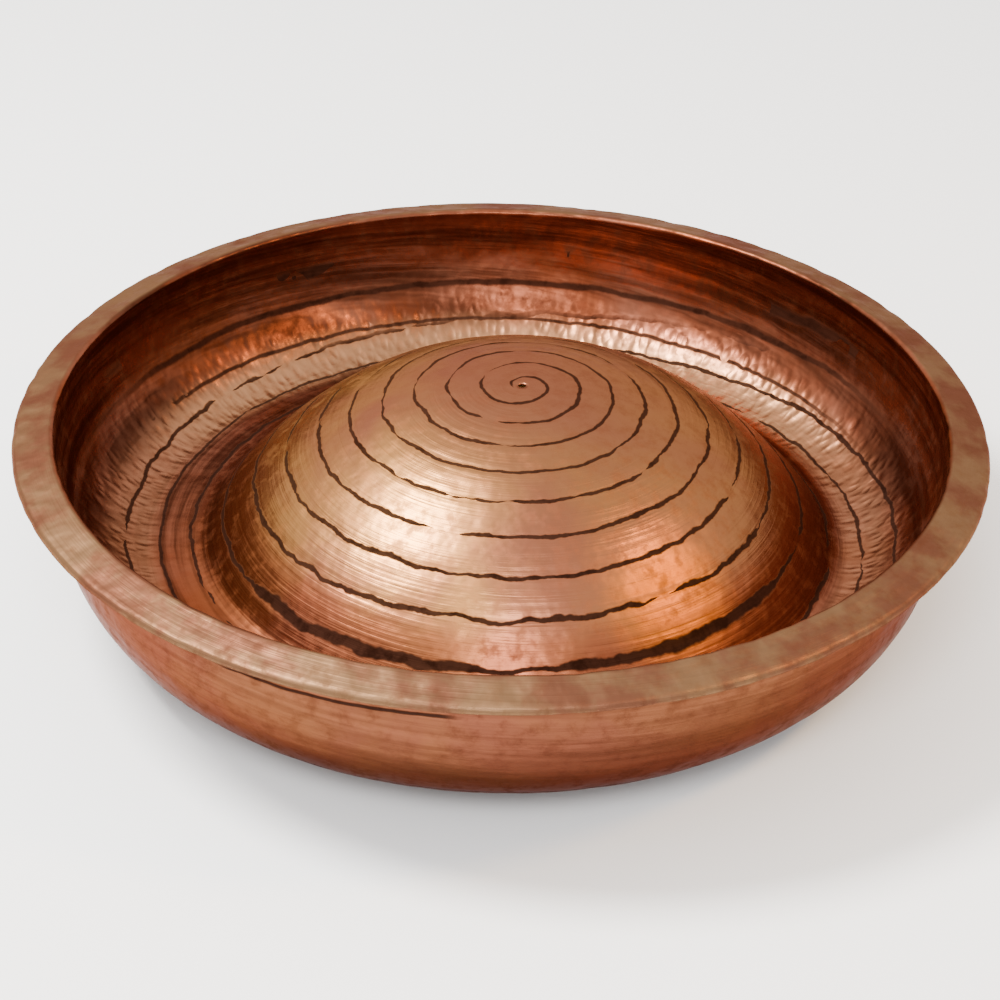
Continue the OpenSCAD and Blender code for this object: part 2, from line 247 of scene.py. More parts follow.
def makeHammerTree():
    # pushes a sheet's surface in along its normal: round hammer marks, radial peening and the spiral groove
    tree, entry, leave = newGroup("hammeredSheet", "GeometryNodeTree", [
        ("INPUT", "Geometry", "Geometry", None), ("INPUT", "Mark Size", "Float", 0.009),
        ("INPUT", "Mark Depth", "Float", 0.0003), ("INPUT", "Peen Depth", "Float", 0.0006),
        ("INPUT", "Groove Depth", "Float", 0.0006), ("INPUT", "Groove Width", "Float", 0.0022),
        ("INPUT", "Wobble", "Float", 0.0008), ("INPUT", "Centre X", "Float", 0.0),
        ("INPUT", "Seed", "Float", 1.0), ("INPUT", "Material", "Material", None),
        ("OUTPUT", "Geometry", "Geometry", None)])
    given = entry.outputs
    place = tree.nodes.new("GeometryNodeInputPosition").outputs[0]
    normal = tree.nodes.new("GeometryNodeInputNormal").outputs[0]

    def zone(key):
        node = addNode(tree, "GeometryNodeInputNamedAttribute", {"data_type": "FLOAT"}, {"Name": key})
        return node.outputs["Attribute"]

    def cells(vector, scale, blend):
        node = addNode(tree, "ShaderNodeTexVoronoi", {"voronoi_dimensions": "4D", "feature": "SMOOTH_F1"},
                       {"Vector": vector, "W": given["Seed"], "Scale": scale, "Smoothness": blend})
        return node.outputs["Distance"]

    # round marks: shallow dishes that meet at soft ridges
    marks = cells(place, calc(tree, "DIVIDE", 1.0, given["Mark Size"]), hammering["dishBlend"])
    dish = minus(tree, 1.0, fade(tree, marks, hammering["dish"]))
    dents = times(tree, dish, given["Mark Depth"], zone("rim"))
    # peening: narrow marks that point to the middle, laid round the wall
    away, radius, parts = spiralField(tree, place, given["Centre X"])
    turnScale = calc(tree, "DIVIDE", 1.0, calc(tree, "MAXIMUM", radius, hammering["nearAxis"]))
    turned = join(tree, times(tree, minus(tree, parts["X"], given["Centre X"]), turnScale),
                  times(tree, parts["Y"], turnScale),
                  times(tree, plus(tree, radius, parts["Z"]), hammering["peenStretch"]))
    peens = cells(turned, hammering["peenMarks"], hammering["peenBlend"])
    peen = minus(tree, 1.0, fade(tree, peens, hammering["peen"]))
    peened = times(tree, peen, given["Peen Depth"], zone("ripple"))
    # slow unevenness of sheet worked by hand
    slow = addNode(tree, "ShaderNodeTexNoise", {"noise_dimensions": "4D"},
                   {"Vector": place, "W": given["Seed"], "Scale": hammering["slowScale"], "Detail": 1.0})
    wobble = times(tree, slow.outputs[0], given["Wobble"], zone("plain"))
    half = times(tree, given["Groove Width"], 0.5)
    cut = between(tree, calc(tree, "DIVIDE", calc(tree, "ABSOLUTE", away), half), 0.0, 1.0, 1.0, 0.0)
    start = spiral["startR"]
    begun = between(tree, radius, start - hammering["begin"], start + hammering["begin"])
    groove = times(tree, cut, begun, zone("dome"), given["Groove Depth"])
    depth = plus(tree, plus(tree, dents, peened), plus(tree, wobble, groove))
    push = addNode(tree, "ShaderNodeVectorMath", {"operation": "SCALE"},
                   {0: normal, "Scale": times(tree, depth, -1.0)})
    moved = addNode(tree, "GeometryNodeSetPosition", None,
                    {"Geometry": given["Geometry"], "Offset": push.outputs[0]})
    real = addNode(tree, "GeometryNodeRealizeInstances", None, {"Geometry": moved.outputs[0]})
    painted = addNode(tree, "GeometryNodeSetMaterial", None,
                      {"Geometry": real.outputs[0], "Material": given["Material"]})
    tree.links.new(painted.outputs[0], leave.inputs["Geometry"])
    return tree


def hammer(piece, tree, material, settings):
    worked = piece.modifiers.new("hammer", "NODES")
    worked.node_group = tree
    sockets = {s.name: s.identifier for s in tree.interface.items_tree if s.in_out == "INPUT"}
    for key, value in settings.items():
        worked[sockets[key]] = value
    worked[sockets["Material"]] = material
    return asMesh(piece)


# shader groups that several finishes share
patina = {
    "cloudDetail": 4.0, "cloudRoughness": 0.55, "cloudTwist": 0.6, "roundScale": 9.0, "stainScale": 140.0,
    "heat": (0.32, 0.68), "streaks": (0.35, 0.68), "stains": (0.42, 0.72),
}


def makePatinaGroup():
    # flame colouring: slow heat clouds, streaks that run round the piece, and small stains
    tree, entry, leave = newGroup("flamePatina", "ShaderNodeTree", [
        ("INPUT", "Vector", "Vector", None), ("INPUT", "Centre X", "Float", 0.0),
        ("INPUT", "Cloud Scale", "Float", 12.0), ("INPUT", "Streak Scale", "Float", 260.0),
        ("OUTPUT", "Heat", "Float", None), ("OUTPUT", "Streaks", "Float", None),
        ("OUTPUT", "Stains", "Float", None)])
    given = entry.outputs
    away, radius, parts = spiralField(tree, given["Vector"], given["Centre X"])
    clouds = addNode(tree, "ShaderNodeTexNoise", None,
                     {"Vector": given["Vector"], "Scale": given["Cloud Scale"],
                      "Detail": patina["cloudDetail"], "Roughness": patina["cloudRoughness"],
                      "Distortion": patina["cloudTwist"]})
    # round the piece the pattern is drawn out; across it, it stays fine
    across = times(tree, minus(tree, radius, parts["Z"]), given["Streak Scale"])
    lines = join(tree, times(tree, parts["X"], patina["roundScale"]),
                 times(tree, parts["Y"], patina["roundScale"]), across)
    drawn = noise(tree, lines, 1.0, 3.0, 0.6)
    spots = noise(tree, given["Vector"], patina["stainScale"], 5.0, 0.65)
    tree.links.new(fade(tree, clouds.outputs[0], patina["heat"]), leave.inputs["Heat"])
    tree.links.new(fade(tree, drawn, patina["streaks"]), leave.inputs["Streaks"])
    tree.links.new(fade(tree, spots, patina["stains"]), leave.inputs["Stains"])
    return tree


darkLine = {
    "waverScale": 60.0, "waver": 0.0052, "edge": (0.55, 1.15, 1.0, 0.0), "thinnest": 0.00005,
    "breakScale": 27.0, "whole": (0.345, 0.47, 0.0, 1.1), "shown": (0.02, 0.25),
    "footBand": (0.003, 0.006), "footFront": (-0.068, -0.054, 1.0, 0.0),
    "footSides": (0.006, 0.034, -0.15, 1.25), "begin": (-0.0006, 0.0002), "end": 0.006,
}


def makeLineGroup():
    # the dark line in the spiral groove: ragged, broken in places, thick at the dome's foot
    tree, entry, leave = newGroup("spiralLine", "ShaderNodeTree", [
        ("INPUT", "Vector", "Vector", None), ("INPUT", "Centre X", "Float", 0.0),
        ("INPUT", "Width", "Float", 0.0016), ("INPUT", "Thick R", "Float", 0.122),
        ("OUTPUT", "Line", "Float", None), ("OUTPUT", "Radius", "Float", None)])
    given = entry.outputs
    waver = noise(tree, given["Vector"], darkLine["waverScale"], 3.5, 0.6)
    away, radius, parts = spiralField(tree, given["Vector"], given["Centre X"])
    off = plus(tree, away, times(tree, minus(tree, waver, 0.5), darkLine["waver"]))
    broken = noise(tree, given["Vector"], darkLine["breakScale"], 3.0, 0.6)
    foot = minus(tree, 1.0, fade(tree, gap(tree, radius, given["Thick R"]), darkLine["footBand"]))
    foot = times(tree, foot, fade(tree, parts["Y"], darkLine["footFront"]))
    thick = times(tree, foot, fade(tree, gap(tree, parts["X"], given["Centre X"]), darkLine["footSides"]))
    whole = calc(tree, "MAXIMUM", fade(tree, broken, darkLine["whole"]), foot)
    width = times(tree, given["Width"], plus(tree, 1.0, thick), whole)
    ratio = calc(tree, "DIVIDE", calc(tree, "ABSOLUTE", off),
                 calc(tree, "MAXIMUM", times(tree, width, 0.5), darkLine["thinnest"]))
    line = times(tree, fade(tree, ratio, darkLine["edge"]), fade(tree, whole, darkLine["shown"]))
    start, end = spiral["startR"], spiral["endR"]
    begun = between(tree, radius, start + darkLine["begin"][0], start + darkLine["begin"][1])
    ended = between(tree, radius, end - darkLine["end"], end, 1.0, 0.0)
    tree.links.new(times(tree, line, begun, ended), leave.inputs["Line"])
    tree.links.new(radius, leave.inputs["Radius"])
    return tree


def makePeenGroup():
    # short hammer marks that point to the middle, side by side round the piece
    tree, entry, leave = newGroup("radialPeening", "ShaderNodeTree", [
        ("INPUT", "Vector", "Vector", None), ("INPUT", "Marks", "Float", 44.0),
        ("INPUT", "Length", "Float", 2.6), ("OUTPUT", "Height", "Float", None)])
    given = entry.outputs
    parts = split(tree, given["Vector"])
    radius = lengthXY(tree, parts["X"], parts["Y"])
    safe = calc(tree, "MAXIMUM", radius, hammering["nearAxis"])
    turned = join(tree, calc(tree, "DIVIDE", parts["X"], safe), calc(tree, "DIVIDE", parts["Y"], safe),
                  times(tree, plus(tree, radius, parts["Z"]), given["Length"]))
    cells = addNode(tree, "ShaderNodeTexVoronoi", {"feature": "SMOOTH_F1"},
                    {"Vector": turned, "Scale": given["Marks"], "Smoothness": 0.3})
    tree.links.new(fade(tree, cells.outputs["Distance"], hammering["dish"]), leave.inputs["Height"])
    return tree


dusty = {"smearScale": 55.0, "facingUp": (0.2, 0.95), "settled": (0.35, 0.7)}


def makeGrainGroup():
    # fine moulded or rubbed grain, with dust that settles on what faces up
    tree, entry, leave = newGroup("grainAndDust", "ShaderNodeTree", [
        ("INPUT", "Vector", "Vector", None), ("INPUT", "Scale", "Float", 900.0),
        ("INPUT", "Dust", "Float", 0.3), ("OUTPUT", "Grain", "Float", None),
        ("OUTPUT", "Dust", "Float", None), ("OUTPUT", "Smear", "Float", None)])
    given = entry.outputs
    grain = noise(tree, given["Vector"], given["Scale"], 3.0)
    smear = noise(tree, given["Vector"], dusty["smearScale"], 4.0, 0.6)
    up = split(tree, tree.nodes.new("ShaderNodeNewGeometry").outputs["Normal"])["Z"]
    dust = times(tree, fade(tree, up, dusty["facingUp"]), fade(tree, smear, dusty["settled"]))
    tree.links.new(grain, leave.inputs["Grain"])
    tree.links.new(times(tree, dust, given["Dust"]), leave.inputs["Dust"])
    tree.links.new(smear, leave.inputs["Smear"])
    return tree


patinaGroup = makePatinaGroup()
lineGroup = makeLineGroup()
peenGroup = makePeenGroup()
grainGroup = makeGrainGroup()
print("shader groups made")


def newMaterial(name):
    material = bpy.data.materials.new(name)
    material.use_nodes = True
    tree = material.node_tree
    return material, tree, tree.nodes["Principled BSDF"]


def mixColour(tree, amount, a, b, blend="MIX"):
    node = addNode(tree, "ShaderNodeMix", {"data_type": "RGBA", "blend_type": blend})
    feed(tree, node.inputs["Factor"], amount)
    feed(tree, node.inputs[6], a)
    feed(tree, node.inputs[7], b)
    return node.outputs[2]


copper = {
    "golden": (0.36, 0.165, 0.052, 1), "rose": (0.25, 0.088, 0.050, 1), "red": (0.20, 0.050, 0.020, 1),
    "dark": (0.035, 0.010, 0.005, 1), "line": (0.022, 0.009, 0.006, 1), "rim": (0.175, 0.094, 0.047, 1),
    "rimRed": (0.135, 0.054, 0.030, 1), "outer": (0.14, 0.046, 0.026, 1), "low": (0.060, 0.019, 0.012, 1),
    "tan": (0.235, 0.090, 0.036, 1), "highlightPale": (0.38, 0.185, 0.09, 1), "amberReflection": (0.40, 0.115, 0.008, 1),
    "roughness": (0.32, 0.48), "stained": 0.28, "bump": 0.3 * mm, "bumpStrength": 0.5,
    "fineScale": 260.0, "fine": 0.6, "streakRelief": 0.5, "grazing": (0.62, 0.47, 0.46, 1),
}
# where each effect lies, in metres; "strength" and "matt" values have no unit
inside = {
    "cloudScale": 13.0, "lineWidth": 1.7 * mm, "thickR": 121.5 * mm, "lineStrength": 0.94, "lineMatt": 0.4,
    "wall": (0.112, 0.150), "crown": (0.020, 0.075, 1.0, 0.0), "crownStrength": 0.85,
    "right": (-0.030, 0.090, 0.0, 0.7), "skirt": (0.104, 0.117), "skirtStrength": 0.7,
    "amberReflectionPlace": (0.068, -0.088, 0.050), "amberReflection": (0.010, 0.034, 1.0, 0.0),
    "amberReflectionStreaks": (0.0, 1.0, 0.95, 0.6), "amberReflectionMatt": 0.10,
    "rim": (0.1832, 0.1852), "rimMatt": 0.14, "mottleScale": 34.0, "mottle": (0.40, 0.62),
    "footIn": (0.141, 0.149), "footOut": (0.158, 0.170, 1.0, 0.0), "footLit": (0.0, 1.0, 0.26, 0.85),
    "back": (0.020, 0.115), "backShadeBand": (0.168, 0.180, 0.0, 0.33), "wallStreaksAndShade": 0.85, "lessAtFoot": 0.45,
    "smearScale": 11.0, "smearRs": (0.1660, 0.1758, 0.1806), "smearWaver": 0.0022,
    "smearEdge": (0.0003, 0.0010, 1.0, 0.0),
    "smearShown": (0.30, 0.55), "smearBack": (0.0, 1.0, 0.2, 0.9), "smearSpread": 900,
    "peenIn": (0.140, 0.150), "peenOut": (0.166, 0.176, 1.0, 0.12), "peenStrength": 1.9,
    "facetScale": 95.0, "facets": 0.5, "rimFacets": 2.2,
}
outside = {
    "cloudScale": 16.0, "low": (0.006, 0.050, 1.0, 0.0), "lowStrength": 0.85, "lowMatt": 0.08,
    "outerStrength": 0.8, "streakStrength": 0.4, "front": (-0.05, 0.0, 1.0, 0.0),
    # each dark line round the bowl: height, from x, to x, and how much of it is missing; the upper one, just
    # under the rim at the front left, is painted shadow of the rim, the lower one a scored line
    "scoreAndShadowLines": ((0.0655, -0.108, -0.010, 0.20), (0.0205, -0.085, 0.062, 0.41)),
    "outerLineEdge": (0.0004, 0.0011, 1.0, 0.0), "outerLineWaver": 0.006, "outerLineEnd": 0.010, "outerLineGap": 0.06,
    "outerLineDepth": -1.5, "raggedScale": 16.0,
}


def makeSmears(tree, fromRim, mottle, place, atBack):
    # dark wavering lines that run round the tray's wall
    smears = noise(tree, place, inside["smearScale"], 4.0, 0.65)
    darkest = 0.0
    for radius in inside["smearRs"]:
        waver = plus(tree, fromRim, times(tree, mottle, inside["smearWaver"]))
        off = gap(tree, waver, radius + inside["smearWaver"] / 2)
        spread = calc(tree, "FRACT", plus(tree, smears, inside["smearSpread"] * radius))
        shown = times(tree, fade(tree, off, inside["smearEdge"]), fade(tree, spread, inside["smearShown"]))
        darkest = calc(tree, "MAXIMUM", darkest, times(tree, shown, fade(tree, atBack, inside["smearBack"])))
    return darkest


def insideLooks(tree, place, colour, heat, streaks):
    # returns the tray's colour, what is added to its roughness, and what is added to its relief
    spun = addNode(tree, "ShaderNodeGroup", {"node_tree": lineGroup},
                   {"Vector": place, "Centre X": domeX, "Width": inside["lineWidth"],
                    "Thick R": inside["thickR"]})
    radius, parts = spun.outputs["Radius"], split(tree, place)
    fromRim = lengthXY(tree, parts["X"], parts["Y"])
    wall, onRim = fade(tree, radius, inside["wall"]), fade(tree, fromRim, inside["rim"])
    atFoot = times(tree, fade(tree, fromRim, inside["footIn"]), fade(tree, fromRim, inside["footOut"]))
    atBack = fade(tree, parts["Y"], inside["back"])
    # dome
    crown = times(tree, fade(tree, radius, inside["crown"]), inside["crownStrength"])
    colour = mixColour(tree, crown, colour, copper["rose"])
    # painted shade: the dome's right side, away from the key light, is mixed towards a darker tan
    colour = mixColour(tree, fade(tree, parts["X"], inside["right"]), colour, copper["tan"])
    skirt = times(tree, fade(tree, radius, inside["skirt"]), inside["skirtStrength"])
    colour = mixColour(tree, skirt, colour, copper["red"])
    # painted reflection: an amber patch on the dome's lower right front, where the orange lamp's reflection
    # falls
    nearAmberReflection = addNode(tree, "ShaderNodeVectorMath", {"operation": "DISTANCE"},
                        {0: place, 1: inside["amberReflectionPlace"]}).outputs["Value"]
    amberReflection = times(tree, fade(tree, nearAmberReflection, inside["amberReflection"]), fade(tree, streaks, inside["amberReflectionStreaks"]))
    colour = mixColour(tree, amberReflection, colour, copper["amberReflection"])
    # wall
    colour = mixColour(tree, wall, colour, mixColour(tree, heat, copper["red"], copper["rose"]))
    # painted shade: the wall is darkened along the patina streaks, less at its foot; the streaks are the
    # patina's own, their darkness is painted shade of the deep wall
    wallStreaksAndShade = times(tree, streaks, wall,
                  minus(tree, inside["wallStreaksAndShade"], times(tree, atFoot, inside["lessAtFoot"])))
    colour = mixColour(tree, wallStreaksAndShade, colour, copper["dark"])
    # painted highlight: a pale band along the wall's foot, strongest at the back
    lit = times(tree, atFoot, fade(tree, atBack, inside["footLit"]))
    colour = mixColour(tree, lit, colour, copper["highlightPale"])
    # rim
    mottle = noise(tree, place, inside["mottleScale"], 4.0, 0.6)
    rim = mixColour(tree, fade(tree, mottle, inside["mottle"]), copper["rim"], copper["rimRed"])
    colour = mixColour(tree, onRim, colour, rim)
    # dark lines
    line = calc(tree, "MAXIMUM", spun.outputs["Line"], makeSmears(tree, fromRim, mottle, place, atBack))
    inked = calc(tree, "MULTIPLY", line, minus(tree, inside["lineStrength"], onRim), clamp=True)
    colour = mixColour(tree, inked, colour, copper["line"])
    # painted shade: the back wall just under the rim is darkened
    high = times(tree, atBack, fade(tree, fromRim, inside["backShadeBand"]))
    colour = mixColour(tree, times(tree, high, minus(tree, 1.0, onRim)), colour, copper["dark"])
    matt = plus(tree, times(tree, onRim, inside["rimMatt"]), times(tree, line, inside["lineMatt"]),
                times(tree, amberReflection, inside["amberReflectionMatt"]))
    # relief
    marks = addNode(tree, "ShaderNodeGroup", {"node_tree": peenGroup}, {"Vector": place})
    band = times(tree, fade(tree, fromRim, inside["peenIn"]), fade(tree, fromRim, inside["peenOut"]))
    peen = times(tree, marks.outputs["Height"], times(tree, band, inside["peenStrength"]))
    facets = addNode(tree, "ShaderNodeTexVoronoi", {"feature": "SMOOTH_F1"},
                     {"Vector": place, "Scale": inside["facetScale"], "Smoothness": 0.5})
    hammered = plus(tree, inside["facets"], times(tree, onRim, inside["rimFacets"]))
    return colour, matt, plus(tree, peen, times(tree, facets.outputs["Distance"], hammered))


def outsideLooks(tree, place, colour, streaks):
    # returns the bowl's colour, what is added to its roughness, and what is added to its relief
    parts = split(tree, place)
    low = fade(tree, parts["Z"], outside["low"])
    ragged = noise(tree, place, outside["raggedScale"], 4.0, 0.6)
    wavering = plus(tree, parts["Z"], times(tree, ragged, outside["outerLineWaver"]))
    # dark lines on the outer wall: the upper one is painted shadow under the rim, the lower one a scored line
    scoredAndShadowed = 0.0
    for height, start, end, missing in outside["scoreAndShadowLines"]:
        off = gap(tree, wavering, height + outside["outerLineWaver"] / 2)
        along = times(tree, between(tree, parts["X"], start, start + outside["outerLineEnd"]),
                      between(tree, parts["X"], end - outside["outerLineEnd"], end, 1.0, 0.0),
                      between(tree, ragged, missing, missing + outside["outerLineGap"]))
        scoredAndShadowed = plus(tree, scoredAndShadowed, times(tree, fade(tree, off, outside["outerLineEdge"]), along))
    scoredAndShadowed = calc(tree, "MULTIPLY", scoredAndShadowed, fade(tree, parts["Y"], outside["front"]), clamp=True)
    colour = mixColour(tree, outside["outerStrength"], colour, copper["outer"])
    colour = mixColour(tree, times(tree, low, outside["lowStrength"]), colour, copper["low"])
    colour = mixColour(tree, times(tree, streaks, outside["streakStrength"]), colour, copper["dark"])
    colour = mixColour(tree, scoredAndShadowed, colour, copper["line"])
    return colour, times(tree, low, outside["lowMatt"]), times(tree, scoredAndShadowed, outside["outerLineDepth"])


def copperFinish(name, inner):
    material, tree, skin = newMaterial(name)
    place = tree.nodes.new("ShaderNodeTexCoord").outputs["Object"]
    flamed = addNode(tree, "ShaderNodeGroup", {"node_tree": patinaGroup}, {
        "Vector": place, "Centre X": domeX, "Cloud Scale": (inside if inner else outside)["cloudScale"]})
    heat, streaks, stains = (flamed.outputs[k] for k in ("Heat", "Streaks", "Stains"))
    colour = mixColour(tree, heat, copper["golden"], copper["rose"])
    if inner:
        colour, matt, relief = insideLooks(tree, place, colour, heat, streaks)
    else:
        colour, matt, relief = outsideLooks(tree, place, colour, streaks)
    colour = mixColour(tree, times(tree, stains, copper["stained"]), colour, copper["red"], "MULTIPLY")
    feed(tree, skin.inputs["Base Color"], colour)
    smooth, rough = copper["roughness"]
    feed(tree, skin.inputs["Roughness"],
         calc(tree, "ADD", between(tree, stains, 0.0, 1.0, smooth, rough), matt, clamp=True))
    skin.inputs["Metallic"].default_value = 1.0
    skin.inputs["Specular Tint"].default_value = copper["grazing"]
    fine = addNode(tree, "ShaderNodeTexVoronoi", {"feature": "SMOOTH_F1"},
                   {"Vector": place, "Scale": copper["fineScale"], "Smoothness": 0.6})
    height = plus(tree, times(tree, fine.outputs["Distance"], copper["fine"]),
                  times(tree, streaks, copper["streakRelief"]), relief)
    bump = addNode(tree, "ShaderNodeBump", None,
                   {"Strength": copper["bumpStrength"], "Distance": copper["bump"], "Height": height})
    feed(tree, skin.inputs["Normal"], bump.outputs[0])
    return material


plain = {
    "dust": (0.42, 0.38, 0.34, 1), "smear": (0.3, 0.7), "smoother": -0.06, "rougher": 0.1,
    "stripe": (-1.0, 0.2, 1.0, 0.0), "pore": (0.15, 0.5, 1.0, 0.0), "pitStrength": 0.75, "pitShade": 0.2,
    "grainInPits": 0.3, "bumpStrength": 0.4,
}


def plainFinish(name, colour, tint, roughness, grainScale, dust, metallic=0.0, grainDepth=0.0001,
                stripes=None, pores=None, clear=0.0):
    # moulded, cast and ground finishes: grain in the surface, smears in the gloss, dust on top;
    # stripes is (axis, spacing) for stacked sheet and wound wire, pores is how many a metre
    material, tree, skin = newMaterial(name)
    place = tree.nodes.new("ShaderNodeTexCoord").outputs["Object"]
    grain = addNode(tree, "ShaderNodeGroup", {"node_tree": grainGroup},
                    {"Vector": place, "Scale": grainScale, "Dust": dust}).outputs
    colours = mixColour(tree, grain["Smear"], (*colour, 1), (*tint, 1))
    colours = mixColour(tree, grain["Dust"], colours, plain["dust"])
    gloss = between(tree, grain["Smear"], *plain["smear"], roughness + plain["smoother"],
                    roughness + plain["rougher"])
    height, pit = grain["Grain"], None
    if stripes:
        axis, spacing = stripes
        wave = calc(tree, "SINE", times(tree, split(tree, place)[axis], 2 * pi / spacing))
        pit = fade(tree, wave, plain["stripe"])
    if pores:
        cells = addNode(tree, "ShaderNodeTexVoronoi", None, {"Vector": place, "Scale": pores})
        pit = fade(tree, cells.outputs["Distance"], plain["pore"])
    # painted shade: the grooves between stacked sheets and wound wires, and the sponge's pores, are darkened
    if pit is not None:
        shade = (*[c * plain["pitShade"] for c in colour], 1)
        colours = mixColour(tree, times(tree, pit, plain["pitStrength"]), colours, shade)
        height = minus(tree, times(tree, height, plain["grainInPits"]), pit)
    bump = addNode(tree, "ShaderNodeBump", None,
                   {"Strength": plain["bumpStrength"], "Distance": grainDepth, "Height": height})
    feed(tree, skin.inputs["Base Color"], colours)
    feed(tree, skin.inputs["Roughness"], gloss)
    feed(tree, skin.inputs["Normal"], bump.outputs[0])
    skin.inputs["Metallic"].default_value = metallic
    skin.inputs["Transmission Weight"].default_value = clear
    return material


# name, colour, colour in the smears, roughness, grain a metre, dust; the rest as plainFinish names it
plainLooks = {
    "brass": (("turned brass", (0.70, 0.50, 0.20), (0.58, 0.38, 0.14), 0.28, 700.0, 0.0), {"metallic": 1.0}),
    "rubber": (("black rubber", (0.022, 0.022, 0.024), (0.04, 0.04, 0.042), 0.72, 1400.0, 0.35), {}),
    "pump_plastic": (("moulded pump plastic", (0.016, 0.017, 0.019), (0.03, 0.031, 0.034), 0.42, 2200.0,
                      0.25), {}),
    "clear_tube": (("milky tube", (0.74, 0.80, 0.79), (0.62, 0.70, 0.68), 0.3, 500.0, 0.1), {"clear": 0.55}),
    "resin": (("cast resin", (0.012, 0.012, 0.013), (0.02, 0.02, 0.022), 0.22, 150.0, 0.0), {}),
    "laminations": (("core steel", (0.34, 0.35, 0.37), (0.26, 0.22, 0.19), 0.38, 2600.0, 0.0),
                    {"metallic": 1.0, "stripes": ("X", 0.5 * mm)}),
    "winding": (("enamelled wire", (0.55, 0.20, 0.08), (0.40, 0.12, 0.05), 0.3, 1800.0, 0.0),
                {"metallic": 1.0, "grainDepth": 0.2 * mm, "stripes": ("Y", 0.6 * mm)}),
    "ceramic": (("ground ceramic", (0.80, 0.79, 0.74), (0.72, 0.70, 0.66), 0.3, 1500.0, 0.0), {}),
    "ferrite": (("sintered ferrite", (0.055, 0.052, 0.05), (0.09, 0.08, 0.075), 0.55, 1900.0, 0.1), {}),
    "impeller_plastic": (("impeller plastic", (0.62, 0.64, 0.66), (0.52, 0.53, 0.53), 0.4, 1600.0, 0.05), {}),
    "sponge": (("filter sponge", (0.02, 0.05, 0.09), (0.035, 0.08, 0.13), 0.9, 420.0, 0.2),
               {"grainDepth": 1.2 * mm, "pores": 700.0}),
    "dial_plastic": (("dial plastic", (0.06, 0.065, 0.07), (0.09, 0.095, 0.10), 0.4, 2000.0, 0.2), {}),
}
innerCopper = copperFinish("hammered copper, inside", True)
outerCopper = copperFinish("hammered copper, outside", False)
finishes = {slot: plainFinish(*looks, **extra) for slot, (looks, extra) in plainLooks.items()}
finishes["hammered_copper"] = innerCopper
for part in frame["record"]["subparts"]:
    dressed = nodes[part["node"]].data
    dressed.materials.clear()
    dressed.materials.append(finishes[part["material_slot"]])
print("finishes made")

hammerTree = makeHammerTree()

# the tray: moat, dome, wall and rim in one sheet
tray = {
    "moatZ": 28 * mm, "moatR": 142 * mm, "domeR": 132 * mm, "domePower": 2.4, "footBack": 3 * mm,
    "neckR": 183.6 * mm, "bendR": 1.2 * mm, "crestZ": 85.4 * mm, "edgeR": 2.2 * mm, "edgeTurn": radians(75),
    "outletR": 1.6 * mm, "drainR": 3 * mm, "drainRing": 140 * mm,
    "drainAngles": (-130, -117, -104, -90, -76, -63, -50), "drillLength": 30 * mm,
    "domeRings": 82, "wallRings": 32, "underDomeRings": 9, "underWallRings": 6, "footRings": 6,
    "wallPower": 2, "wallStart": radians(82), "rippleAt": 0.16, "rippleReach": 0.22,
    # how strongly each kind of hammering acts on each zone
    "onDome": {"dome": 1.0, "plain": 0.4, "rim": 0.35}, "onFoot": {"dome": 1.0, "plain": 0.4, "rim": 0.4},
    "onWall": {"dome": 0.7, "plain": 1.0, "rim": 0.5}, "onRim": {"rim": 1.0, "plain": 0.3},
    "hammering": {"Mark Size": 9.5 * mm, "Mark Depth": 0.5 * mm, "Peen Depth": 0.8 * mm,
                  "Groove Depth": 0.3 * mm, "Groove Width": 3 * mm, "Wobble": 0.7 * mm, "Seed": 3.0},
}
lip = {"bendRings": 6, "rings": 10}


def domeHeight(r):
    return (crownZ - tray["moatZ"]) * (1 - (r / tray["domeR"]) ** tray["domePower"])


def domeSlope(r):
    rise = (crownZ - tray["moatZ"]) * tray["domePower"] / tray["domeR"]
    return atan(rise * (r / tray["domeR"]) ** (tray["domePower"] - 1))


def scaled(zone, worked):
    return {kind: strength * worked for kind, strength in zone.items()}


def rimPoints(neckR, bendR, bendZ, inset, lipLength, turned):
    # outward bend, sloping lip and, on the tray, the edge turned down
    slope = sheet["lipSlope"]
    out = pi / 2 - slope
    bend = (neckR + bendR, bendZ)
    made = arcPoints(*bend, bendR + inset, pi, out, lip["bendRings"])
    tip = (bend[0] + (bendR + inset) * cos(out), bend[1] + (bendR + inset) * sin(out))
    count = lip["rings"]
    for i in range(1, count + 1):
        along = lipLength * i / count
        made.append((tip[0] + along * cos(slope), tip[1] - along * sin(slope)))
    if turned:
        r = tray["edgeR"]
        centre = (bend[0] + (bendR - r) * cos(out) + lipLength * cos(slope),
                  bend[1] + (bendR - r) * sin(out) - lipLength * sin(slope))
        made += arcPoints(*centre, r + inset, out, out - tray["edgeTurn"], lip["bendRings"])[1:]
    return made


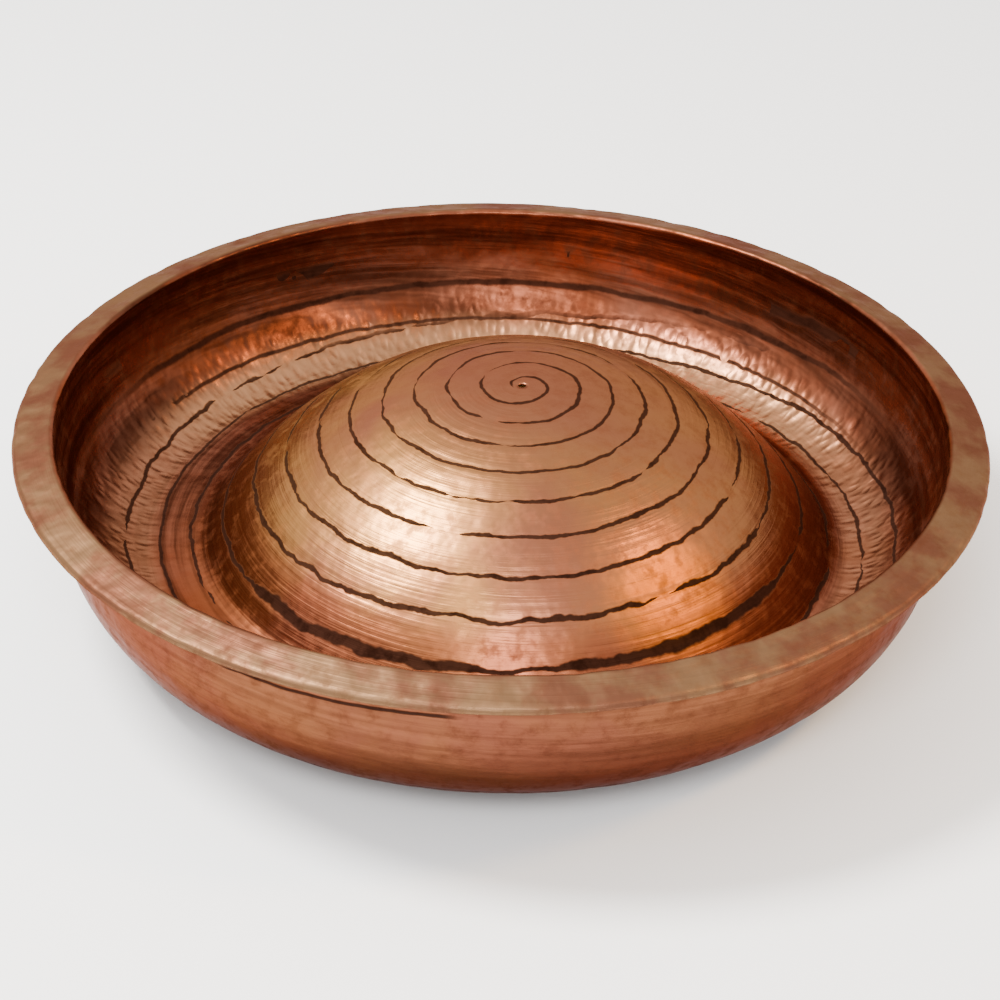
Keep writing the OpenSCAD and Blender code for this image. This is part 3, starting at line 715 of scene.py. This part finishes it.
def makeTray():
    thick, moatZ = sheet["thickness"], tray["moatZ"]
    footR = tray["domeR"] - tray["footBack"]
    slope = domeSlope(footR)
    arcR = domeHeight(footR) / (1 - cos(slope))
    endR = footR + arcR * sin(slope)
    bendZ = tray["crestZ"] - thick - tray["bendR"]
    slopeOut = pi / 2 - sheet["lipSlope"]
    edgeX = rimR - tray["edgeR"] - thick
    lipLength = (edgeX + tray["edgeR"] * cos(slopeOut) - tray["neckR"] - tray["bendR"]
                 - tray["bendR"] * cos(slopeOut)) / cos(sheet["lipSlope"])

    def side(inset, domeRings, wallRings, worked):
        made = []
        start = tray["outletR"]
        for i in range(domeRings + 1):
            r = start + (footR - start) * i / domeRings
            a = domeSlope(r)
            drop = thick - inset
            made.append((max(start, r - drop * sin(a)), moatZ + domeHeight(r) - drop * cos(a), domeX,
                         scaled(tray["onDome"], worked)))
        foot = arcPoints(endR, moatZ + arcR, arcR + thick - inset, 1.5 * pi - slope, 1.5 * pi,
                         tray["footRings"])
        for r, z in foot[1:]:
            made.append((r, z, domeX, scaled(tray["onFoot"], worked)))
        wall = wallPoints(tray["moatR"], tray["neckR"], moatZ - thick, bendZ, tray["wallPower"], inset,
                          tray["wallStart"], 0.0, wallRings)
        for r, z in wall:
            up = (z - moatZ) / (bendZ - moatZ)
            ripple = max(0.0, 1 - abs(up - tray["rippleAt"]) / tray["rippleReach"])
            made.append((r, z, 0.0, {**scaled(tray["onWall"], worked), "ripple": ripple * worked}))
        for r, z in rimPoints(tray["neckR"], tray["bendR"], bendZ, inset, lipLength, True)[1:]:
            made.append((r, z, 0.0, scaled(tray["onRim"], worked)))
        return made

    top = side(thick, tray["domeRings"], tray["wallRings"], 1.0)
    under = side(0.0, tray["underDomeRings"], tray["underWallRings"], 0.0)
    piece = lathe("domed_tray", top + under[::-1], sheet["segments"])
    hammer(piece, hammerTree, innerCopper, {**tray["hammering"], "Centre X": domeX})
    spots = [Vector((tray["drainRing"] * cos(radians(a)), tray["drainRing"] * sin(radians(a)), moatZ))
             for a in tray["drainAngles"]]
    return drill(piece, tray["drainR"], spots, Vector((0, 0, 1)), tray["drillLength"])


domedTray = makeTray()
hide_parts("dome_tray")
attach(domedTray, "tray")
print("tray made", len(domedTray.data.polygons))

# the bowl under it
bowl = {
    "footZ": bowlLow.z, "baseR": 118 * mm, "wallR": 185.2 * mm, "wallTop": 73 * mm, "power": 2.5,
    "bendR": 1 * mm, "lipLength": 8 * mm, "lipGap": 0.35 * mm, "grommetR": 4.5 * mm, "drillLength": 30 * mm,
    "floorRings": 4, "outerRings": 70, "innerRings": 24, "onWall": {"rim": 0.8, "plain": 0.8},
    "hammering": {"Mark Size": 11 * mm, "Mark Depth": 0.3 * mm, "Peen Depth": 0.0, "Groove Depth": 0.0,
                  "Groove Width": 3 * mm, "Wobble": 0.6 * mm, "Centre X": 0.0, "Seed": 11.0},
}


def makeBowl():
    thick = sheet["thickness"]
    out = pi / 2 - sheet["lipSlope"]
    trayBend = (tray["neckR"] + tray["bendR"], tray["crestZ"] - thick - tray["bendR"])
    reach = trayBend[0] * cos(out) + trayBend[1] * sin(out) + tray["bendR"]
    bendX = bowl["wallR"] + bowl["bendR"]
    bendZ = (reach - bowl["lipGap"] - thick - bowl["bendR"] - bendX * cos(out)) / sin(out)

    def side(inset, rings, worked):
        floorZ, count = bowl["footZ"] + inset, bowl["floorRings"]
        made = [(bowl["baseR"] * i / count, floorZ, 0.0, {}) for i in range(count)]
        wall = wallPoints(bowl["baseR"], bowl["wallR"], bowl["footZ"], bowl["wallTop"], bowl["power"], inset,
                          pi / 2, 0.0, rings)
        made += [(r, z, 0.0, scaled(bowl["onWall"], worked)) for r, z in wall]
        rim = rimPoints(bowl["wallR"], bowl["bendR"], bendZ, inset, bowl["lipLength"], False)
        made += [(r, z, 0.0, {}) for r, z in rim]
        return made

    outer, inner = side(0.0, bowl["outerRings"], 1.0), side(thick, bowl["innerRings"], 0.0)
    piece = lathe("outer_bowl", outer + inner[::-1], sheet["segments"])
    hammer(piece, hammerTree, outerCopper, bowl["hammering"])
    middle = (grommetLow + grommetHigh) / 2
    return drill(piece, bowl["grommetR"], [Vector((0, middle.y, middle.z))], Vector((0, 1, 0)),
                 bowl["drillLength"])


outerBowl = makeBowl()
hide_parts("bowl")
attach(outerBowl, "reservoir")
print("bowl made", len(outerBowl.data.polygons))

# floor, camera and lights
stage = {
    "floorSize": 6.0, "floorColour": (0.95, 0.95, 0.95), "floorRoughness": 0.9, "worldStrength": 1.7,
    "camPlace": (0.0, -1.030, 0.6967), "camLook": (0.0, 0.8444, -0.5363), "camRoll": radians(1.28),
    "lens": 104.8, "sensor": 36,
}
# name: place, what it points at, size in metres, power in watts, colour
lights = {
    "key": ((-0.70, -0.02, 1.20), (0, 0, 0.05), 0.42, 46, (1, 0.97, 0.92)),
    "front": ((-0.1, -1.1, 1.1), (0, 0, 0.05), 0.5, 14, (1, 1, 1)),
    "glow": ((0.78, -0.18, 0.86), (0.06, -0.08, 0.06), 0.16, 6, (1, 0.55, 0.16)),
}


def makeFloor():
    mesh = bpy.data.meshes.new("floor")
    half = stage["floorSize"] / 2
    corners = [(-half, -half, 0), (half, -half, 0), (half, half, 0), (-half, half, 0)]
    mesh.from_pydata(corners, [], [(0, 1, 2, 3)])
    floor = bpy.data.objects.new("floor", mesh)
    bpy.context.scene.collection.objects.link(floor)
    material, tree, skin = newMaterial("studio floor")
    skin.inputs["Base Color"].default_value = (*stage["floorColour"], 1)
    skin.inputs["Roughness"].default_value = stage["floorRoughness"]
    mesh.materials.append(material)


def makeLight(name, place, target, size, power, colour):
    data = bpy.data.lights.new(name, "AREA")
    data.shape, data.size, data.energy, data.color = "DISK", size, power, colour
    light = bpy.data.objects.new(name, data)
    light.location = place
    light.rotation_euler = (Vector(target) - Vector(place)).to_track_quat("-Z", "Y").to_euler()
    bpy.context.scene.collection.objects.link(light)


makeFloor()
for lightName, light in lights.items():
    makeLight(lightName, *light)
world = bpy.data.worlds.new("studio")
bpy.context.scene.world = world
world.use_nodes = True
world.node_tree.nodes["Background"].inputs["Color"].default_value = (1, 1, 1, 1)
world.node_tree.nodes["Background"].inputs["Strength"].default_value = stage["worldStrength"]

camData = bpy.data.cameras.new("camera")
camData.lens, camData.sensor_width = stage["lens"], stage["sensor"]
camera = bpy.data.objects.new("camera", camData)
bpy.context.scene.collection.objects.link(camera)
camera.location = stage["camPlace"]
aim = Vector(stage["camLook"]).to_track_quat("-Z", "Y")
camera.rotation_euler = (aim @ Euler((0, 0, stage["camRoll"])).to_quaternion()).to_euler()
bpy.context.scene.camera = camera
